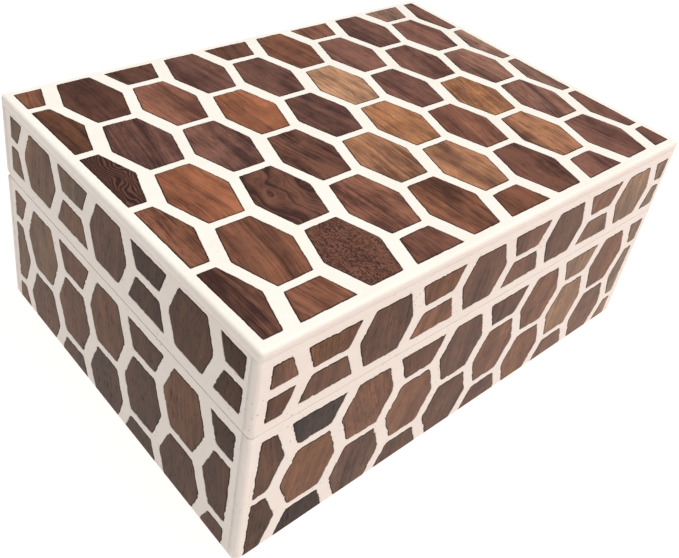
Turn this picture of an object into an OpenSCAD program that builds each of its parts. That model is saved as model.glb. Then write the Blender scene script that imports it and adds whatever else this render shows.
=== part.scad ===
// Keepsake box with a hinged lid, covered with dark wood hexagon tiles set in a cream resin ground.
// Origin: middle of the footprint, on the surface it stands on. X runs along the long front,
// the hinges are on the +Y side and Z is up. The box is drawn closed.

/* [Box] */
// Outside length, left to right
box_l = 178; // [178:0.5:182]
// Outside depth, front to back
box_d = 127; // [126:0.5:130]
// Outside height with the lid shut
box_h = 76; // [75.5:0.1:77]
// Height of the joint between base and lid
seam_z = 48; // [47.8:0.1:48.4]
// Gap left between the two rims
seam_gap = 0.2; // [0.1:0.05:0.3]

/* [Walls] */
// Thickness of the cream ground and of the tiles in it
skin = 3; // [2.8:0.1:3.2]
// Thickness of the wooden core walls
wall = 5.5; // [5.3:0.1:6]
// Thickness of the lid's top panel
panel = 4; // [3:0.5:5]
// Thickness of the floor panel
floor_t = 4; // [3:0.5:5]
// Radius of the upright outside corners
corner_r = 1.3; // [1.2:0.1:2.7]
// Radius of the lid's top edges
edge_r = 1.1; // [1:0.1:2.4]

/* [Tiles] */
// Width of a tile across its points
tile_w = 19.4; // [18.4:0.1:19.5]
// Length of a tile's two level edges
tile_flat = 11.1; // [9:0.1:11.5]
// Height of a tile on the lid's top
top_tile_h = 25.6; // [24:0.1:26]
// Height of a tile on the front and back
front_tile_h = 21.6; // [20.5:0.1:22]
// Height of a tile on the two ends
end_tile_h = 22.5; // [21.4:0.1:22.9]
// How far the hand-cut corners of side tiles stray
side_stray = 0.22; // [0:0.01:0.3]
// How far the corners of top tiles stray
top_stray = 0.12; // [0:0.01:0.2]
// Lean of the columns on the four sides, from bottom to top
side_lean = 1.8; // [0:0.1:2.4]

/* [Soft sheets] */
// Thickness of the pad on the floor
lining_t = 1.5; // [1:0.1:3]
// Thickness of the felt under the floor
felt_t = 0.8; // [0.5:0.1:1.2]

/* [Hinges] */
// Distance of each hinge from the middle of the back
hinge_x = 48; // [35:1:60]
// Length of a hinge
hinge_l = 24; // [20:1:28]
// Outside radius of a knuckle
knuckle_r = 1.5; // [1.4:0.05:1.6]
// Radius of the hinge pin
pin_r = 0.7; // [0.6:0.05:0.75]
// Running clearance of the pin, on the radius
pin_fit = 0.05; // [0.03:0.01:0.08]
// Thickness of a leaf
leaf_t = 0.8; // [0.7:0.05:0.9]
// Width of a leaf from the pin's axis
leaf_w = 6.3; // [6:0.1:6.6]
// How far the pin's axis lies inside the back face
axis_inset = 1; // [0.9:0.05:1.2]
// Angle at which the bevelled back edges meet
open_angle = 96; // [92:1:110]

/* [Hidden] */
$fn = 64;

cream = "#EFE3D6";
tile_brown = "#6B4636";
core_brown = "#A9805A";
lining_red = "#5A1620";
felt_green = "#23392C";
brass = "#C9A24B";

base_top = seam_z - seam_gap / 2;
lid_low = seam_z + seam_gap / 2;
lid_side_top = box_h - skin; // the top sheet covers the side sheets' upper edges
core_l = box_l - 2 * skin;
core_d = box_d - 2 * skin;
room_l = core_l - 2 * wall;
room_d = core_d - 2 * wall;
lap = wall / 2; // depth of the corner and floor rebates
floor_top = felt_t + floor_t;
proud = 1; // how far a cutter reaches past what it cuts

// The four sides are drawn as the front and turned to face their own way.
FRONT = 0;
BACK = 180;
LEFT = -90;
RIGHT = 90;

// ---- Tile lattice -------------------------------------------------------------------------

min_piece = 8; // a cut tile smaller than this area is left out
col_pitch = 19.2; // from one column of tiles to the next, on the top and the long sides
end_col_pitch = 19.35; // the same on the ends
first_col = 3; // middle of the first column, from the left edge
end_first_col = 4.1;
row_gap = 2.4; // ground between a tile and the next one in its column
end_row_gap = 2.7;
top_margin = 3; // ground outside the outermost tiles on top, at the ends
top_back_margin = 2.4; // the same along the back and the front
top_front_margin = 2.8;
side_margin = 3.5; // ground between the upright corners and the tiles
end_margin = 5.2;
split_gap = 3; // ground that divides the first tile of the lid's long sides

function hexagon(c, h) = [for (p = [[-tile_flat, h], [tile_flat, h], [tile_w, 0],
        [tile_flat, -h], [-tile_flat, -h], [-tile_w, 0]]) c + p / 2];

// Keeps the part of an outline on the near side of a line: points p with p * n <= d.
function clip(outline, n, d) = len(outline) == 0 ? [] : [for (i = [0 : len(outline) - 1])
    let (a = outline[i], b = outline[(i + 1) % len(outline)], da = a * n - d, db = b * n - d)
    each concat(da <= 0 ? [a] : [], da * db < 0 ? [a + (b - a) * da / (da - db)] : [])];

function clip_field(outline, lo, hi) = clip(clip(clip(clip(outline,
    [1, 0], hi[0]), [-1, 0], -lo[0]), [0, 1], hi[1]), [0, -1], -lo[1]);

function area(o) = len(o) < 3 ? 0 : abs(sum([for (i = [0 : len(o) - 1])
    cross(o[i], o[(i + 1) % len(o)])])) / 2;
function sum(v, i = 0) = i < len(v) ? v[i] + sum(v, i + 1) : 0;

function strayed(o, reach, seed) = let (r = rands(-reach, reach, 2 * len(o), seed))
    [for (i = [0 : len(o) - 1]) o[i] + [r[2 * i], r[2 * i + 1]]];

// Outlines of the tiles on one field: columns of hexagons, every other column shifted.
// start holds the height of a tile's middle in the even and in the odd columns.
function tile_field(lo, hi, first, pitch, start, row_pitch, h, reach, seed) =
    [for (k = [0 : ceil((hi[0] - first) / pitch)])
        for (row = [-3 : ceil(hi[1] / row_pitch) + 1])
            let (c = [first + k * pitch, start[k % 2] + row * row_pitch],
                o = clip_field(hexagon(c, h), lo, hi))
            if (area(o) > min_piece) strayed(o, reach, seed + 31 * k + 7 * row)];

function leaned(o) = [for (p = o) p + [side_lean * (p[1] / box_h - 0.5), 0]];

// Splits the tiles that lie left of a limit with a level gap.
function split_first(tiles, limit, mid) = [for (o = tiles)
    each (max([for (p = o) p[0]]) > limit ? [o] :
        [clip(o, [0, 1], mid - split_gap / 2), clip(o, [0, -1], -mid - split_gap / 2)])];

function above_zero(o) = clip(o, [0, -1], 0);

// Heights of the tile fields and of the tiles' middles
front_base_field = [-proud, 44.8];
front_base_mid = 33.9;
front_lid_field = [51.3, 70.1];
front_lid_mid = 60.8;
end_base_field = [-proud, 44.6];
end_base_mid = 21;
end_lid_field = [52.2, 71.7];
end_lid_mid = 62;
top_even_mid = 27.3; // from the back edge, in the even columns
top_odd_mid = 15.2;

front_row = front_tile_h + row_gap;
end_row = end_tile_h + end_row_gap;
top_row = top_tile_h + row_gap - 0.1;

function front_tiles(field, mid, seed) = [for (o = tile_field([side_margin, field[0]],
    [box_l - side_margin, field[1]], first_col, col_pitch, [mid, mid - front_row / 2],
    front_row, front_tile_h, side_stray, seed)) leaned(o)];
function end_tiles(field, mid, seed) = [for (o = tile_field([end_margin, field[0]],
    [box_d - end_margin, field[1]], end_first_col, end_col_pitch, [mid, mid + end_row / 2 - 0.5],
    end_row, end_tile_h, side_stray, seed)) leaned(o)];
function long_lid_tiles(seed) = split_first(front_tiles(front_lid_field, front_lid_mid, seed),
    first_col + tile_w / 2 + 1.5, front_lid_mid);
function end_lid_tiles(seed) = end_tiles(end_lid_field, end_lid_mid - end_row / 2 + 0.5, seed);

// On top the second coordinate runs from the back edge to the front.
top_tile_outlines = tile_field([top_margin, top_back_margin],
    [box_l - top_margin, box_d - top_front_margin], first_col, col_pitch,
    [top_even_mid, top_odd_mid], top_row, top_tile_h, top_stray, 900);

// ---- Shapes used more than once --------------------------------------------------------------

// Turns a drawing of the front to another side. x runs from that side's left edge, y is height.
module side_sheet(turn, length, depth, thickness = skin, outset = 0) {
    rotate([0, 0, turn])
        translate([-length / 2, -depth / 2 + skin, 0])
            rotate([90, 0, 0])
                translate([0, 0, -outset])
                    linear_extrude(thickness + 2 * outset)
                        children();
}

module tile_solids(turn, length, depth, outlines) {
    for (o = outlines)
        side_sheet(turn, length, depth) polygon(above_zero(o));
}

module tile_pockets(turn, length, depth, outlines) {
    for (o = outlines)
        side_sheet(turn, length, depth, outset = proud) polygon(o);
}

// Sheet on a long side. It covers the ends of the end sheets and has the rounded corners.
module long_sheet(turn, low, high) {
    rotate([0, 0, turn])
        translate([0, 0, low])
            linear_extrude(high - low)
                translate([-box_l / 2, -box_d / 2])
                    intersection() {
                        square([box_l, skin]);
                        union() {
                            translate([corner_r, 0]) square([box_l - 2 * corner_r, skin + proud]);
                            translate([-proud, corner_r]) square([box_l + 2 * proud, skin]);
                            for (x = [corner_r, box_l - corner_r])
                                translate([x, corner_r]) circle(corner_r);
                        }
                    }
}

module end_sheet(turn, low, high) {
    rotate([0, 0, turn])
        translate([-core_d / 2, -box_l / 2, low])
            cube([core_d, skin, high - low]);
}

// Core wall along a long side, rebated at both ends for the end walls.
module long_wall(turn, low, high) {
    rotate([0, 0, turn])
        difference() {
            translate([-core_l / 2, -core_d / 2, low]) cube([core_l, wall, high - low]);
            for (x = [-core_l / 2 - proud, room_l / 2])
                translate([x, -core_d / 2 + lap, low - proud])
                    cube([wall + proud, wall, high - low + 2 * proud]);
        }
}

module end_wall(turn, low, high) {
    rotate([0, 0, turn])
        translate([-room_d / 2 - lap, -core_l / 2, low])
            cube([room_d + 2 * lap, wall, high - low]);
}

// Rebate under the base walls, where the floor and the felt lie.
module floor_rebate() {
    translate([-room_l / 2 - lap, -room_d / 2 - lap, -proud])
        cube([room_l + 2 * lap, room_d + 2 * lap, floor_top + proud]);
}

// ---- Hinge geometry ---------------------------------------------------------------------------

axis_y = box_d / 2 - axis_inset;
knuckles = 5;
knuckle_gap = 0.1;
swing_gap = 0.2; // free space round the knuckles, on the radius
head_r = 1.1; // riveted end of the pin
head_t = 0.4;
screw_y = axis_y - 3.9;
screw_x = 7.5;
screw_r = 0.6;
screw_head_r = 1.3;
screw_l = 7;
screw_fit = 0.05;
slot_w = 0.35;

module at_hinge(side) {
    translate([side * hinge_x, axis_y, seam_z]) children();
}

// Round bar along X, centred on the pin's axis.
module axis_bar(r, length, at = 0) {
    translate([at - length / 2, 0, 0]) rotate([0, 90, 0]) cylinder(r = r, h = length);
}

// Wedge behind the axis that leaves both back edges bevelled. They meet at open_angle.
module back_bevel() {
    reach = 4;
    rise = reach * tan(open_angle / 2);
    translate([-box_l / 2 - proud, axis_y, seam_z])
        rotate([90, 0, 90])
            linear_extrude(box_l + 2 * proud)
                polygon([[0, 0], [reach, -rise], [reach, rise]]);
}

// Space for a hinge in one rim: a shallow mortise for the leaf and a groove for the knuckles.
// up is 1 in the lid and -1 in the base.
module hinge_space(up) {
    length = hinge_l + 2 * (head_t + swing_gap);
    for (side = [-1, 1])
        at_hinge(side) {
            axis_bar(knuckle_r + swing_gap, length);
            translate([-hinge_l / 2, -leaf_w, up > 0 ? -seam_gap : -seam_gap / 2 - leaf_t])
                cube([hinge_l, leaf_w + proud / 2, leaf_t + 1.5 * seam_gap]);
            for (sx = [-1, 1])
                translate([sx * screw_x, screw_y - axis_y, up > 0 ? 0 : -screw_l - 0.3])
                    cylinder(r = screw_r + screw_fit, h = screw_l + 0.3);
        }
}

function own_knuckle(i, up) = up > 0 ? i % 2 == 1 : i % 2 == 0;

module leaf(side, up) {
    step = hinge_l / knuckles;
    at_hinge(side)
        difference() {
            union() {
                translate([-hinge_l / 2, -leaf_w, up > 0 ? seam_gap / 2 : -seam_gap / 2 - leaf_t])
                    cube([hinge_l, leaf_w, leaf_t]);
                for (i = [0 : knuckles - 1])
                    if (own_knuckle(i, up))
                        axis_bar(knuckle_r, step - knuckle_gap, (i - (knuckles - 1) / 2) * step);
            }
            axis_bar(pin_r + pin_fit, hinge_l + 2 * proud);
            for (i = [0 : knuckles - 1])
                if (!own_knuckle(i, up))
                    axis_bar(knuckle_r + swing_gap, step + knuckle_gap,
                        (i - (knuckles - 1) / 2) * step);
            for (sx = [-1, 1])
                translate([sx * screw_x, screw_y - axis_y, 0])
                    mirror([0, 0, up > 0 ? 1 : 0])
                        screw_space();
        }
}

// Countersunk hole in a leaf that lies just below the plane z = 0.
module screw_space() {
    top = -seam_gap / 2;
    translate([0, 0, top - leaf_t - proud])
        cylinder(r = screw_r + screw_fit, h = leaf_t + 2 * proud);
    translate([0, 0, top - leaf_t + 0.1])
        cylinder(r1 = screw_r + screw_fit, r2 = screw_head_r + screw_fit, h = leaf_t - 0.1);
    translate([0, 0, top - 0.001])
        cylinder(r = screw_head_r + screw_fit, h = proud);
}

module screw() {
    top = -seam_gap / 2;
    difference() {
        union() {
            translate([0, 0, top - screw_l]) cylinder(r = screw_r, h = screw_l - 0.3);
            translate([0, 0, top - leaf_t + 0.15])
                cylinder(r1 = screw_r, r2 = screw_head_r, h = leaf_t - 0.15);
        }
        translate([-screw_head_r - proud, -slot_w / 2, top - 0.3])
            cube([2 * (screw_head_r + proud), slot_w, proud]);
    }
}

module hinge_screws(up) {
    for (side = [-1, 1])
        for (sx = [-1, 1])
            translate([side * hinge_x + sx * screw_x, screw_y, seam_z])
                mirror([0, 0, up > 0 ? 1 : 0])
                    screw();
}

module pin(side) {
    at_hinge(side) {
        axis_bar(pin_r, hinge_l + 2 * head_t);
        for (s = [-1, 1])
            axis_bar(head_r, head_t, s * (hinge_l + head_t) / 2);
    }
}

// ---- Base ---------------------------------------------------------------------------------------

module base_floor() {
    color(core_brown)
        translate([-room_l / 2 - lap, -room_d / 2 - lap, felt_t])
            cube([room_l + 2 * lap, room_d + 2 * lap, floor_t]);
}

module base_front_wall() {
    color(core_brown) difference() {
        long_wall(FRONT, 0, base_top);
        floor_rebate();
    }
}

module base_back_wall() {
    color(core_brown) difference() {
        long_wall(BACK, 0, base_top);
        floor_rebate();
        hinge_space(-1);
    }
}

module base_left_wall() {
    color(core_brown) difference() {
        end_wall(LEFT, 0, base_top);
        floor_rebate();
    }
}

module base_right_wall() {
    color(core_brown) difference() {
        end_wall(RIGHT, 0, base_top);
        floor_rebate();
    }
}

front_base_tiles = front_tiles(front_base_field, front_base_mid, 100);
back_base_tiles = front_tiles(front_base_field, front_base_mid, 200);
left_base_tiles = end_tiles(end_base_field, end_base_mid, 300);
right_base_tiles = end_tiles(end_base_field, end_base_mid, 400);

module base_front_ground() {
    color(cream) difference() {
        long_sheet(FRONT, 0, base_top);
        tile_pockets(FRONT, box_l, box_d, front_base_tiles);
    }
}

module base_back_ground() {
    color(cream) difference() {
        long_sheet(BACK, 0, base_top);
        tile_pockets(BACK, box_l, box_d, back_base_tiles);
        back_bevel();
        hinge_space(-1);
    }
}

module base_left_ground() {
    color(cream) difference() {
        end_sheet(LEFT, 0, base_top);
        tile_pockets(LEFT, box_d, box_l, left_base_tiles);
    }
}

module base_right_ground() {
    color(cream) difference() {
        end_sheet(RIGHT, 0, base_top);
        tile_pockets(RIGHT, box_d, box_l, right_base_tiles);
    }
}

module base_front_tiles() {
    color(tile_brown) tile_solids(FRONT, box_l, box_d, front_base_tiles);
}

module base_back_tiles() {
    color(tile_brown) tile_solids(BACK, box_l, box_d, back_base_tiles);
}

module base_left_tiles() {
    color(tile_brown) tile_solids(LEFT, box_d, box_l, left_base_tiles);
}

module base_right_tiles() {
    color(tile_brown) tile_solids(RIGHT, box_d, box_l, right_base_tiles);
}

module base_lining() {
    play = 0.2;
    color(lining_red)
        translate([-room_l / 2 + play, -room_d / 2 + play, floor_top])
            cube([room_l - 2 * play, room_d - 2 * play, lining_t]);
}

module base_felt() {
    color(felt_green)
        translate([-room_l / 2 - lap, -room_d / 2 - lap, 0])
            cube([room_l + 2 * lap, room_d + 2 * lap, felt_t]);
}

// ---- Lid ----------------------------------------------------------------------------------------

lid_wall_top = lid_side_top - panel;

module lid_top_panel() {
    color(core_brown)
        translate([-core_l / 2, -core_d / 2, lid_wall_top])
            cube([core_l, core_d, panel]);
}

module lid_front_wall() {
    color(core_brown) long_wall(FRONT, lid_low, lid_wall_top);
}

module lid_back_wall() {
    color(core_brown) difference() {
        long_wall(BACK, lid_low, lid_wall_top);
        hinge_space(1);
    }
}

module lid_left_wall() {
    color(core_brown) end_wall(LEFT, lid_low, lid_wall_top);
}

module lid_right_wall() {
    color(core_brown) end_wall(RIGHT, lid_low, lid_wall_top);
}

front_lid_tiles = long_lid_tiles(500);
back_lid_tiles = long_lid_tiles(600);
left_lid_tiles = end_lid_tiles(700);
right_lid_tiles = end_lid_tiles(800);

// Outline of a bar across the lid's top sheet, with its two upper corners rounded.
module rounded_top(width) {
    translate([-width / 2, lid_side_top - proud]) square([width, skin - edge_r + proud]);
    translate([-width / 2 + edge_r, lid_side_top - proud])
        square([width - 2 * edge_r, skin + proud]);
    for (s = [-1, 1])
        translate([s * (width / 2 - edge_r), box_h - edge_r]) circle(edge_r);
}

module lid_top_sheet() {
    intersection() {
        translate([box_l / 2 + proud, 0, 0])
            rotate([90, 0, -90]) linear_extrude(box_l + 2 * proud) rounded_top(box_d);
        translate([0, box_d / 2 + proud, 0])
            rotate([90, 0, 0]) linear_extrude(box_d + 2 * proud) rounded_top(box_l);
        translate([0, 0, lid_side_top])
            linear_extrude(skin + proud)
                union() {
                    square([box_l - 2 * corner_r, box_d], center = true);
                    square([box_l, box_d - 2 * corner_r], center = true);
                    for (sx = [-1, 1])
                        for (sy = [-1, 1])
                            translate([sx * (box_l / 2 - corner_r), sy * (box_d / 2 - corner_r)])
                                circle(corner_r);
                }
    }
}

// Places a drawing of the top, whose second coordinate runs from the back edge to the front.
module on_top(outset) {
    translate([-box_l / 2, box_d / 2, lid_side_top - outset])
        linear_extrude(skin + 2 * outset)
            mirror([0, 1]) children();
}

module lid_top_ground() {
    color(cream) difference() {
        lid_top_sheet();
        for (o = top_tile_outlines)
            on_top(proud) polygon(o);
    }
}

module lid_front_ground() {
    color(cream) difference() {
        long_sheet(FRONT, lid_low, lid_side_top);
        tile_pockets(FRONT, box_l, box_d, front_lid_tiles);
    }
}

module lid_back_ground() {
    color(cream) difference() {
        long_sheet(BACK, lid_low, lid_side_top);
        tile_pockets(BACK, box_l, box_d, back_lid_tiles);
        back_bevel();
        hinge_space(1);
    }
}

module lid_left_ground() {
    color(cream) difference() {
        end_sheet(LEFT, lid_low, lid_side_top);
        tile_pockets(LEFT, box_d, box_l, left_lid_tiles);
    }
}

module lid_right_ground() {
    color(cream) difference() {
        end_sheet(RIGHT, lid_low, lid_side_top);
        tile_pockets(RIGHT, box_d, box_l, right_lid_tiles);
    }
}

module lid_top_tiles() {
    color(tile_brown) for (o = top_tile_outlines)
        on_top(0) polygon(o);
}

module lid_front_tiles() {
    color(tile_brown) tile_solids(FRONT, box_l, box_d, front_lid_tiles);
}

module lid_back_tiles() {
    color(tile_brown) tile_solids(BACK, box_l, box_d, back_lid_tiles);
}

module lid_left_tiles() {
    color(tile_brown) tile_solids(LEFT, box_d, box_l, left_lid_tiles);
}

module lid_right_tiles() {
    color(tile_brown) tile_solids(RIGHT, box_d, box_l, right_lid_tiles);
}

// ---- Hinges -------------------------------------------------------------------------------------

module hinge_left_base_leaf() {
    color(brass) leaf(-1, -1);
}

module hinge_left_lid_leaf() {
    color(brass) leaf(-1, 1);
}

module hinge_left_pin() {
    color(brass) pin(-1);
}

module hinge_right_base_leaf() {
    color(brass) leaf(1, -1);
}

module hinge_right_lid_leaf() {
    color(brass) leaf(1, 1);
}

module hinge_right_pin() {
    color(brass) pin(1);
}

module hinge_base_screws() {
    color(brass) hinge_screws(-1);
}

module hinge_lid_screws() {
    color(brass) hinge_screws(1);
}

base_floor();
base_front_wall();
base_back_wall();
base_left_wall();
base_right_wall();
base_front_ground();
base_back_ground();
base_left_ground();
base_right_ground();
base_front_tiles();
base_back_tiles();
base_left_tiles();
base_right_tiles();
base_lining();
base_felt();
lid_top_panel();
lid_front_wall();
lid_back_wall();
lid_left_wall();
lid_right_wall();
lid_top_ground();
lid_front_ground();
lid_back_ground();
lid_left_ground();
lid_right_ground();
lid_top_tiles();
lid_front_tiles();
lid_back_tiles();
lid_left_tiles();
lid_right_tiles();
hinge_left_base_leaf();
hinge_left_lid_leaf();
hinge_left_pin();
hinge_right_base_leaf();
hinge_right_lid_leaf();
hinge_right_pin();
hinge_base_screws();
hinge_lid_screws();
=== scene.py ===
# %% [markdown]
# # An inlaid keepsake box
# The box is a plain wooden carcass with a lid hinged at the back. Every outside face carries a
# 3 mm skin: hexagon tiles of brown hardwood, set in cream resin and sanded flush. This lesson
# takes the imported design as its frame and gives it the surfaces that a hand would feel: tiles
# with softened rims, a resin ground that follows each ragged tile, a velvet pad and worn brass.
# All places come from the frame, so nothing here has to be fitted by eye.

# %% Load the frame
import math
import random

import bmesh
import bpy
from mathutils import Matrix, Vector, geometry, noise


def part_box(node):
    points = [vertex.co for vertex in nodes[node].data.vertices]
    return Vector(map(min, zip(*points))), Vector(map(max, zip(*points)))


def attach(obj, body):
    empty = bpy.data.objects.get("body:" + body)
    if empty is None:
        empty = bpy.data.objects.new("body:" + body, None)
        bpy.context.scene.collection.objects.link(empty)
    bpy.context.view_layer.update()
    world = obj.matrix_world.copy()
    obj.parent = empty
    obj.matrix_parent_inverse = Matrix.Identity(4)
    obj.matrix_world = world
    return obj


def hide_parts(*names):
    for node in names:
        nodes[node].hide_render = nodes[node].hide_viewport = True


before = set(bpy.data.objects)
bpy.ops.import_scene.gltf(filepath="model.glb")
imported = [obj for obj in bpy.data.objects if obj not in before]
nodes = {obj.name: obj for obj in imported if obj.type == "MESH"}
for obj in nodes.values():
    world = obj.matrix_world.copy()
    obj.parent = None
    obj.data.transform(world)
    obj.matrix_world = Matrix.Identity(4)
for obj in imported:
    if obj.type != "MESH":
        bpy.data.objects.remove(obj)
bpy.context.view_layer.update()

MM = 0.001

# %% [markdown]
# ## Sizes
# The frame says how long, deep and high the box is and where the lid parts from the base. Only
# the two small radii that a box can't tell are named here, with the design's values. Lengths
# are in millimetres until a mesh is made, because that is how the maker thinks of them.

# %% Sizes from the frame
top_low, top_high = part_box("lid_top_ground")
front_low, front_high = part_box("base_front_ground")
LENGTH = (top_high.x - top_low.x) / MM
DEPTH = (top_high.y - top_low.y) / MM
HEIGHT = top_high.z / MM
SKIN = (front_high.y - front_low.y) / MM
BASE_TOP = front_high.z / MM
LID_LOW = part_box("lid_front_ground")[0].z / MM
LID_SIDE_TOP = top_low.z / MM
CORNER_R = 1.3  # of the upright corners
EDGE_R = 1.1  # of the roll along the lid's top edge
print(f"box {LENGTH:.0f} x {DEPTH:.0f} x {HEIGHT:.0f} mm, skin {SKIN:.1f} mm")

# %% [markdown]
# ## Faces
# Nine flat drawings make the whole skin: the lid's top and four sides each for base and lid.
# On every drawing u runs to the right and v upwards as one looks at the face from outside, and
# d is the depth under the surface. One function turns such a point into the frame and one turns
# it back, so a tile is drawn once and lands on any side.

# %% Turn between a face's drawing and the frame
TURNS = {"front": 0, "right": 90, "back": 180, "left": -90}
LONG_SIDES = ("front", "back")


def face_size(side):
    """Length of a side, and the distance between it and the side opposite."""
    return (LENGTH, DEPTH) if side in LONG_SIDES else (DEPTH, LENGTH)


def from_drawing(side, u, v, d):
    if side == "top":
        return Vector((u - LENGTH / 2, v - DEPTH / 2, HEIGHT - d)) * MM
    length, across = face_size(side)
    turn = Matrix.Rotation(math.radians(TURNS[side]), 3, "Z")
    return turn @ Vector((u - length / 2, d - across / 2, v)) * MM


def to_drawing(side, point):
    if side == "top":
        p = point / MM
        return p.x + LENGTH / 2, p.y + DEPTH / 2, HEIGHT - p.z
    length, across = face_size(side)
    p = Matrix.Rotation(-math.radians(TURNS[side]), 3, "Z") @ point / MM
    return p.x + length / 2, p.z, p.y + across / 2


# %% [markdown]
# ## Reading the tiles
# Each tiles node is a group of loose prisms, one for every tile. The corners that lie on the
# surface give the tile's outline. Going round the tile's middle by angle puts them in order,
# which works because a tile has no hollows. The tiles are then sorted into columns from left to
# right, and from top to bottom in each column, so that the wood of each one can be chosen below.

# %% Outlines of the tiles of one node
ON_SURFACE = 0.05
COLUMN_GAP = 6.0


def loose_groups(mesh):
    """Groups of points of a mesh that edges join, in the order of the points."""
    seen = set()
    for start in mesh.verts:
        if start.index in seen:
            continue
        group, queue = [], [start]
        seen.add(start.index)
        while queue:
            point = queue.pop()
            group.append(point.co.copy())
            for edge in point.link_edges:
                other = edge.other_vert(point)
                if other.index not in seen:
                    seen.add(other.index)
                    queue.append(other)
        yield group


def outline_of(side, group):
    flat = [to_drawing(side, co) for co in group]
    points = sorted({(round(u, 3), round(v, 3)) for u, v, d in flat if d < ON_SURFACE})
    mu = sum(p[0] for p in points) / len(points)
    mv = sum(p[1] for p in points) / len(points)
    points.sort(key=lambda p: math.atan2(p[1] - mv, p[0] - mu))
    return [Vector(p) for p in points]


def middle(outline):
    return sum(outline, Vector((0, 0))) / len(outline)


def tile_columns(side, node):
    """Outlines of a node's tiles: a list of columns, each from top to bottom."""
    mesh = bmesh.new()
    mesh.from_mesh(nodes[node].data)
    bmesh.ops.remove_doubles(mesh, verts=mesh.verts, dist=1e-6)
    mesh.verts.ensure_lookup_table()
    mesh.verts.index_update()
    outlines = sorted((outline_of(side, g) for g in loose_groups(mesh)), key=lambda o: middle(o).x)
    mesh.free()
    columns = []
    for outline in outlines:
        if not columns or middle(outline).x - middle(columns[-1][-1]).x > COLUMN_GAP:
            columns.append([])
        columns[-1].append(outline)
    for column in columns:
        column.sort(key=lambda o: -middle(o).y)
    return columns


# %% [markdown]
# ## Hand-cut edges
# A machine would leave each edge dead straight. These tiles were sawn and filed by hand, so
# an edge wanders a little and the corners are blunt. An outline is cut into short steps, and
# every step is pushed sideways by a slow wave plus a fine chatter, and a few steps are chipped.
# The top was sawn with more care than the sides, and the lid with more than the base: reach is
# how far the edges of a face wander, and blunt is how much its tile corners are worn away.

# %% How roughly each face is cut
CUTS = {("lid", True): (0.2, 0.2), ("lid", False): (0.18, 0.2),
        ("base", True): (0.3, 0.25), ("base", False): (0.25, 0.25)}
FACES = {"lid_top": dict(side="top", body="lid", reach=0.08, blunt=0.08)}
for part in ("lid", "base"):
    for side in ("front", "back", "left", "right"):
        reach, blunt = CUTS[part, side in LONG_SIDES]
        FACES[f"{part}_{side}"] = dict(side=side, body=part, reach=reach, blunt=blunt)
print(len(FACES), "faces:", ", ".join(FACES))

# %% Saw an edge
STEP = 0.6
WAVE_LENGTH = 3.0
SLOW_SHARE = 1.1
FAST_SHARE = 0.9
OTHER_SLICE = 7.3  # keeps the fine chatter apart from the slow wave in the noise
CHIPPED = 0.06  # share of the steps that are chipped
CHIP_DEPTHS = (0.5, 1.3)  # as parts of a face's reach
BESIDE_CORNER = 0.3  # how blunt the steps beside a corner are, next to the corner itself
FURTHEST_OUT = -0.15


def sawn_edge(outline, reach, blunt, place):
    """Number of steps on each edge, and how far each step's point is pushed inwards."""
    steps, pushes = [], []
    chips = random.Random(round(1000 * (outline[0].x + place)))
    for i, a in enumerate(outline):
        b = outline[(i + 1) % len(outline)]
        count = max(2, round((b - a).length / STEP))
        steps.append(count)
        for k in range(count):
            p = a.lerp(b, k / count)
            slow = noise.noise(Vector((p.x / WAVE_LENGTH, p.y / WAVE_LENGTH, place)))
            fast = noise.noise(Vector((p.x / STEP, p.y / STEP, place + OTHER_SLICE)))
            corner = blunt if k == 0 else blunt * BESIDE_CORNER if k in (1, count - 1) else 0
            chip = chips.uniform(*CHIP_DEPTHS) if chips.random() < CHIPPED else 0.0
            push = reach * (SLOW_SHARE * slow + FAST_SHARE * fast + chip) + corner
            pushes.append(max(push, FURTHEST_OUT))
    return steps, pushes


# %% [markdown]
# All the rings round one tile share the same pushes, so the resin follows the wood exactly.
# Where a side tile is cut off by the bottom of the box, that edge stays on the bottom.

# %% Rings round an outline
FLOOR_LINE = 0.01
NEARLY_STRAIGHT = 0.15  # sine of the bend under which a corner counts as straight


def inward(a, b):
    """Unit normal that points into an outline that runs anticlockwise."""
    along = (b - a).normalized()
    return Vector((-along.y, along.x))


def on_floor(a, b):
    return abs(a.y) < FLOOR_LINE and abs(b.y) < FLOOR_LINE


def corner_inset(before, corner, after, inset):
    """Where a corner goes when its edges move inwards. An edge on the floor line stays."""
    n1, n2 = inward(before, corner), inward(corner, after)
    d1 = 0 if on_floor(before, corner) else inset
    d2 = 0 if on_floor(corner, after) else inset
    cross = n1.cross(n2)
    if abs(cross) < NEARLY_STRAIGHT:
        return corner + (n1 + n2).normalized() * max(d1, d2, key=abs)
    return corner + Vector((d1 * n2.y - d2 * n1.y, d2 * n1.x - d1 * n2.x)) / cross


def ring(outline, sawn, inset):
    """The outline moved inwards by inset, with its sawn edge."""
    steps, pushes = sawn
    n = len(outline)
    corners = [corner_inset(outline[i - 1], outline[i], outline[(i + 1) % n], inset)
               for i in range(n)]
    points = []
    for i in range(n):
        a, b = corners[i], corners[(i + 1) % n]
        flat = on_floor(outline[i], outline[(i + 1) % n])
        flat_before = on_floor(outline[i - 1], outline[i])
        push_way = inward(outline[i], outline[(i + 1) % n])
        corner_way = (push_way + inward(outline[i - 1], outline[i])).normalized()
        for k in range(steps[i]):
            p = a.lerp(b, k / steps[i])
            push = pushes[len(points)]
            if not flat and not (k == 0 and flat_before):
                p = p + (corner_way if k == 0 else push_way) * push
            points.append(p)
    return points


# %% [markdown]
# ## Gathering a shell
# Every piece of the skin is a closed solid. A small class collects its points and faces, and
# joins points that land on the same place, so neighbouring patches share their edges. Each
# point can carry values for the finish, such as how close it is to a tile's rim.

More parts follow.
